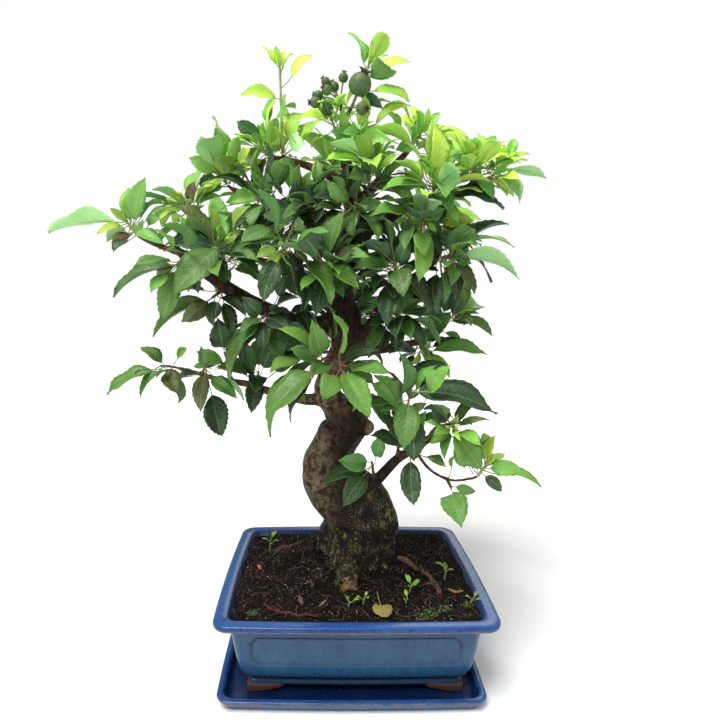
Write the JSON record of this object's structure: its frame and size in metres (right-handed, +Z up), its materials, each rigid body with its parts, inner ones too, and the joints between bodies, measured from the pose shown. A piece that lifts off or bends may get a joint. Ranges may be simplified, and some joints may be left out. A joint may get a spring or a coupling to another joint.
{
  "type": "apple bonsai",
  "caption": "Informal upright apple bonsai with a gnarled trunk, leafy sprays and small fruit, rooted in soil in a footed rectangular glazed pot on a saucer.",
  "frame": {"origin": "on the surface under the saucer, below the middle of the pot", "axes": "+Z up along the tree, +X to the viewer's right along the pot's long side, -Y towards the front"},
  "size_m": [0.4681, 0.3167, 0.625],
  "materials": {
    "bark": "rough grey-brown bark with pinkish and mossy patches",
    "leaf": "matt green leaf, paler underneath",
    "apple_skin": "dull green skin with a dry brown calyx",
    "pot_glaze": "glossy blue glaze, navy where it pools, bare brown feet",
    "saucer_glaze": "glossy blue glaze, worn tan along the edge",
    "soil": "dark damp potting soil with light flecks",
    "mesh_plastic": "black plastic mesh",
    "seedling": "pale green weed seedling",
    "yellow_leaf": "fallen yellow leaf",
    "red_twig": "bare reddish twig"
  },
  "bodies": {
    "root": {"apples_left": "apple_skin", "apples_right": "apple_skin", "drain_mesh_left": "mesh_plastic", "drain_mesh_right": "mesh_plastic", "fallen_leaf": "yellow_leaf", "fallen_twig": "red_twig", "pot": "pot_glaze", "saucer": "saucer_glaze", "seedling_1": "seedling", "seedling_2": "seedling", "seedling_3": "seedling", "soil": "soil", "spray_back_left": "leaf", "spray_back_left_tip": "leaf", "spray_back_low": "leaf", "spray_back_right": "leaf", "spray_back_right_tip": "leaf", "spray_back_top": "leaf", "spray_centre": "leaf", "spray_centre_high": "leaf", "spray_centre_left": "leaf", "spray_crown_left": "leaf", "spray_crown_low": "leaf", "spray_crown_right": "leaf", "spray_front_back": "leaf", "spray_front_left": "leaf", "spray_front_right": "leaf", "spray_left_hang": "leaf", "spray_left_high": "leaf", "spray_left_inner": "leaf", "spray_left_low": "leaf", "spray_left_rise": "leaf", "spray_left_spur": "leaf", "spray_left_tip": "leaf", "spray_low_left": "leaf", "spray_low_left_inner": "leaf", "spray_low_left_rise": "leaf", "spray_low_left_tip": "leaf", "spray_low_right_hang": "leaf", "spray_low_right_main": "leaf", "spray_low_right_out": "leaf", "spray_low_right_tip": "leaf", "spray_low_right_under": "leaf", "spray_right_inner": "leaf", "spray_right_inner_low": "leaf", "spray_right_low": "leaf", "spray_right_low_b": "leaf", "spray_right_mid": "leaf", "spray_right_tip": "leaf", "spray_right_tip_low": "leaf", "spray_right_up": "leaf", "spray_top_left": "leaf", "spray_top_mid": "leaf", "spray_top_mid_low": "leaf", "spray_top_right": "leaf", "spray_top_right_low": "leaf", "spray_trunk_front": "leaf", "spray_upper_left": "leaf", "spray_upper_left_mid": "leaf", "tree_wood": "bark"}
  },
  "joints": []
}
